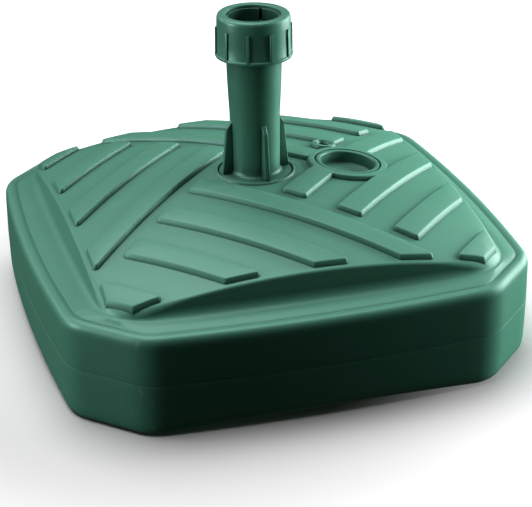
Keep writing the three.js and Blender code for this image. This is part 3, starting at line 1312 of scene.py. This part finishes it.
@dataclass
class SplitRing:
    """The tapered ring that the collar squeezes on to the pole."""

    low: float = 297.3
    high: float = 309.0
    split_turn: float = 57.6
    split_width: float = 3.0
    notch_width: float = 2.0
    notch_low: float = 301.0
    slot_middle: float = 27.0
    slot_length: float = 12.0
    slot_height: float = 30.0

    def build(self) -> bpy.types.Object:
        """Models the ring.

        Returns:
            The finished mesh object.
        """
        profile = [
            (24.5, self.low), (29.1, self.low), (29.4, self.low + 0.3), (29.4, 299.9), (26.2, 305.6),
            (26.0, 306.2), (26.0, self.high - 0.3), (25.7, self.high), (24.6, self.high),
            (24.3, self.high - 0.3), (24.3, self.low + 0.2),
        ]
        ring = turned("split_clamp_ring", profile, 96, closed=True)
        for i in range(4):
            width, low = (self.notch_width, self.notch_low) if i else (self.split_width, self.low - 5)
            deselect()
            bpy.ops.mesh.primitive_cube_add(size=1.0, location=(0.0, 0.0, 0.0))
            slot = bpy.context.object
            size = Vector((self.slot_length, width, self.slot_height, 1.0))
            middle = Vector((self.slot_middle, 0.0, low + self.slot_height / 2))
            slot.data.transform(Matrix.Diagonal(size * MM))
            slot.data.transform(Matrix.Translation(middle * MM))
            slot.data.transform(Matrix.Rotation(math.radians(self.split_turn + 90.0 * i), 4, "Z"))
            combine(ring, slot, Cut.TAKE)
        outward(ring)
        return ring


# --- Filler and vent ---


@dataclass
class DeckStopper:
    """A dished stopper with a flat rubber ring under its lip."""

    name: str
    place: Fitting
    profile: Sequence[tuple[float, float]]
    seal_inner: float
    seal_outer: float
    seal_low: float
    seal_high: float
    seal_softness: float = 0.3
    count: int = 96
    dome: Dome = field(default_factory=Dome)

    def build(self) -> tuple[bpy.types.Object, bpy.types.Object]:
        """Models the stopper and its seal.

        Returns:
            Both objects, in their places on the dome.
        """
        seat = self.dome.seat(self.place.x, self.place.y, self.place.raised)
        cap = turned(self.name, self.profile, self.count)
        inner, outer, low, high = self.seal_inner, self.seal_outer, self.seal_low, self.seal_high
        soft = (high - low) * self.seal_softness
        section = [
            (inner + soft, low), (outer - soft, low), (outer, low + soft), (outer, high - soft),
            (outer - soft, high), (inner + soft, high), (inner, high - soft), (inner, low + soft),
        ]
        seal = turned(f"{self.name}_seal_ring", section, self.count, closed=True)
        for obj in (cap, seal):
            obj.data.transform(seat)
        return cap, seal


FILLER_STOPPER = DeckStopper(
    name="filler_dish",
    place=FILLER_PLACE,
    profile=(
        (1.0, -15.0), (27.4, -15.0), (28.8, -14.4), (29.2, -13.0), (29.2, -2.9), (32.0, -2.8),
        (32.4, -2.4), (32.4, -1.1), (32.2, -0.5), (31.7, -0.2), (29.4, -0.2), (28.6, -0.4),
        (28.0, -1.0), (27.7, -1.9), (27.2, -10.6), (26.8, -11.9), (25.8, -12.5), (1.0, -12.5),
    ),
    seal_inner=30.0,
    seal_outer=32.2,
    seal_low=-4.7,
    seal_high=-3.1,
)

VENT_STOPPER = DeckStopper(
    name="vent_dish",
    place=VENT_PLACE,
    profile=(
        (0.5, -10.0), (5.9, -10.0), (6.6, -9.2), (6.6, -2.0), (8.2, -2.0), (8.4, -1.7), (8.4, -0.7),
        (8.2, -0.3), (7.9, -0.1), (7.7, -0.1), (7.5, -0.3), (7.3, -0.8), (5.8, -2.6), (5.6, -7.6),
        (5.2, -8.3), (0.5, -8.4),
    ),
    seal_inner=7.2,
    seal_outer=8.4,
    seal_low=-3.2,
    seal_high=-2.3,
    count=48,
)


# --- Studio ---


@dataclass
class Studio:
    """Floor, lights and camera, in metres."""

    camera_place: tuple[float, float, float] = (-0.4627, -1.6148, 0.8538)
    look_down: float = 23.74
    look_right: float = 17.74
    lens: float = 124.2
    shift: tuple[float, float] = (-0.0773, -0.0985)
    floor_grey: float = 0.62
    # The floor's painted light: how bright it glows far off, the centre of the painted shade round the
    # object, and where the glow starts and is full.
    floor_painted_light: float = 0.8
    painted_shade_centre: tuple[float, float] = (-0.11, -0.03)
    painted_light_from: float = 0.22
    painted_light_to: float = 0.54
    unlit: bpy.types.Collection | None = None

    def camera(self) -> None:
        """Makes the camera and hands it to the scene."""
        data = bpy.data.cameras.new("camera")
        data.lens = self.lens
        data.sensor_width = 36.0
        data.shift_x, data.shift_y = self.shift
        data.clip_start, data.clip_end = 0.05, 50.0
        camera = bpy.data.objects.new("camera", data)
        camera.location = self.camera_place
        camera.rotation_euler = (
            math.radians(90.0 - self.look_down),
            0.0,
            math.radians(-self.look_right),
        )
        bpy.context.scene.collection.objects.link(camera)
        bpy.context.scene.camera = camera

    def floor(self) -> None:
        """Lays a plain pale floor with painted light: it glows away from the object and not near it, so
        round the object it has painted shade besides the lamps' shadow.
        """
        deselect()
        bpy.ops.mesh.primitive_plane_add(size=30.0, location=(0.0, 0.0, -0.0002))
        floor = bpy.context.object
        floor.name = "studio_floor"
        shader = Shader("studio_floor")
        # Painted light: the floor's emission grows with distance from a point beside the object, which
        # leaves a painted shade round it.
        place = shader.node("TexCoord", output="Object")
        beside = shader.node(
            "VectorMath", {"operation": "SUBTRACT"}, {0: place, 1: (*self.painted_shade_centre, 0.0)},
            output="Vector",
        )
        distance = shader.node("VectorMath", {"operation": "LENGTH"}, {0: beside}, output="Value")
        away = shader.node(
            "MapRange",
            {"interpolation_type": "SMOOTHSTEP"},
            {"Value": distance, "From Min": self.painted_light_from, "From Max": self.painted_light_to},
        )
        glow = shader.node(
            "Mix",
            {"data_type": "RGBA"},
            {"Factor": away, 6: (0.0, 0.0, 0.0, 1.0), 7: (*[self.floor_painted_light] * 3, 1.0)},
            output=2,
        )
        surface = shader.node(
            "BsdfPrincipled",
            inputs={
                "Base Color": (*[self.floor_grey] * 3, 1.0),
                "Roughness": 0.9,
                "Specular IOR Level": 0.0,
                "Emission Color": glow,
                "Emission Strength": 1.0,
            },
        )
        floor.data.materials.append(shader.finish(surface))
        floor.visible_glossy = False
        floor.visible_diffuse = False
        floor.visible_shadow = False
        self.unlit = bpy.data.collections.new("unlit_by_side_lights")
        self.unlit.objects.link(floor)
        self.unlit.collection_objects[0].light_linking.link_state = "EXCLUDE"

    def softbox(
        self,
        name: str,
        place: tuple[float, float, float],
        target: tuple[float, float, float],
        size: tuple[float, float],
        power: float,
        on_floor: bool = True,
        gleam: bool = True,
    ) -> None:
        """Adds an area light that looks at a point.

        Args:
            name: the light's name.
            place: where it stands.
            target: the point that it looks at.
            size: its width and height.
            power: its power in watts.
            on_floor: whether it lights the floor as well.
            gleam: whether glossy surfaces mirror it.
        """
        data = bpy.data.lights.new(name, "AREA")
        data.shape = "RECTANGLE"
        data.size, data.size_y = size
        data.energy = power
        light = bpy.data.objects.new(name, data)
        light.location = place
        way = Vector(target) - Vector(place)
        light.rotation_mode = "QUATERNION"
        light.rotation_quaternion = way.to_track_quat("-Z", "Y")
        bpy.context.scene.collection.objects.link(light)
        light.visible_glossy = gleam
        if not on_floor:
            light.light_linking.receiver_collection = self.unlit

    def lights(self) -> None:
        """Sets the soft lights and a dim surrounding."""
        self.softbox("overhead", (-0.3, 0.34, 1.75), (0.0, 0.0, 0.1), (1.8, 1.5), 52.0)
        self.softbox("left_side", (-1.4, -0.02, 0.5), (0.0, 0.0, 0.1), (0.4, 0.7), 17.0, False)
        self.softbox("left_back", (-1.5, 1.2, 0.9), (0.0, 0.0, 0.1), (1.3, 0.9), 10.0, False)
        self.softbox("right_side", (1.3, 0.15, 0.34), (0.15, 0.0, 0.1), (1.1, 0.9), 80.0, False, False)
        self.softbox("right_gleam", (1.3, 0.2, 0.34), (0.15, 0.0, 0.1), (1.1, 0.9), 22.0, False)
        world = bpy.data.worlds.new("studio")
        world.use_nodes = True
        background = world.node_tree.nodes["Background"]
        background.inputs["Color"].default_value = (0.8, 1.0, 0.8, 1.0)
        background.inputs["Strength"].default_value = 0.045
        bpy.context.scene.world = world

    def build(self) -> None:
        """Sets up the whole studio."""
        bpy.context.scene.view_settings.view_transform = "Standard"
        self.camera()
        self.floor()
        self.lights()


# --- Assembly ---

TANK_GREEN = MouldedPlastic("tank_green", "tank_plastic", (0.03, 0.108, 0.074), roughness=0.40)
TUBE_GREEN = MouldedPlastic(
    "tube_green", "tube_plastic", (0.026, 0.095, 0.064), roughness=0.36, grain=0.04, ripple=0.03,
)
COLLAR_GREEN = MouldedPlastic(
    "collar_green", "collar_plastic", (0.027, 0.098, 0.067), roughness=0.36, grain=0.04, ripple=0.03,
)
STOPPER_GREEN = MouldedPlastic(
    "stopper_green", "stopper_plastic", (0.024, 0.088, 0.061), roughness=0.34, ripple=0.04,
)
# Painted shade: the split ring sits down in the collar's bore, and its green is darkened to stand in for
# the shade there.
RING_PAINTED_SHADE_GREEN = MouldedPlastic(
    "ring_painted_shade_green", "ring_plastic", (0.012, 0.045, 0.03), roughness=0.42, ripple=0.02,
)
SEAL_BLACK = SealRubber()


def main() -> None:
    """Builds the base piece by piece and dresses it."""
    logging.basicConfig(level=logging.INFO, format="%(message)s")
    Studio().build()
    wardrobe = Wardrobe()
    tank = Tank()
    wardrobe.dress(tank.build_upper(), TANK_GREEN, Body.TANK, ["tank_upper_shell"])
    wardrobe.dress(tank.build_lower(), TANK_GREEN, Body.TANK, ["tank_lower_shell"])
    wardrobe.dress(StandTube().build(), TUBE_GREEN, Body.TANK, ["stand_tube"])
    wardrobe.dress(ClampCollar().build(), COLLAR_GREEN, Body.COLLAR, ["clamp_collar"])
    wardrobe.dress(SplitRing().build(), RING_PAINTED_SHADE_GREEN, Body.SPLIT_RING, ["clamp_split_ring"])
    cap, seal = FILLER_STOPPER.build()
    wardrobe.dress(cap, STOPPER_GREEN, Body.FILLER, ["filler_stopper"])
    wardrobe.dress(seal, SEAL_BLACK, Body.FILLER, ["filler_seal"])
    cap, seal = VENT_STOPPER.build()
    wardrobe.dress(cap, STOPPER_GREEN, Body.VENT, ["vent_plug"])
    wardrobe.dress(seal, SEAL_BLACK, Body.VENT, ["vent_seal"])


if __name__ == "__main__":
    main()
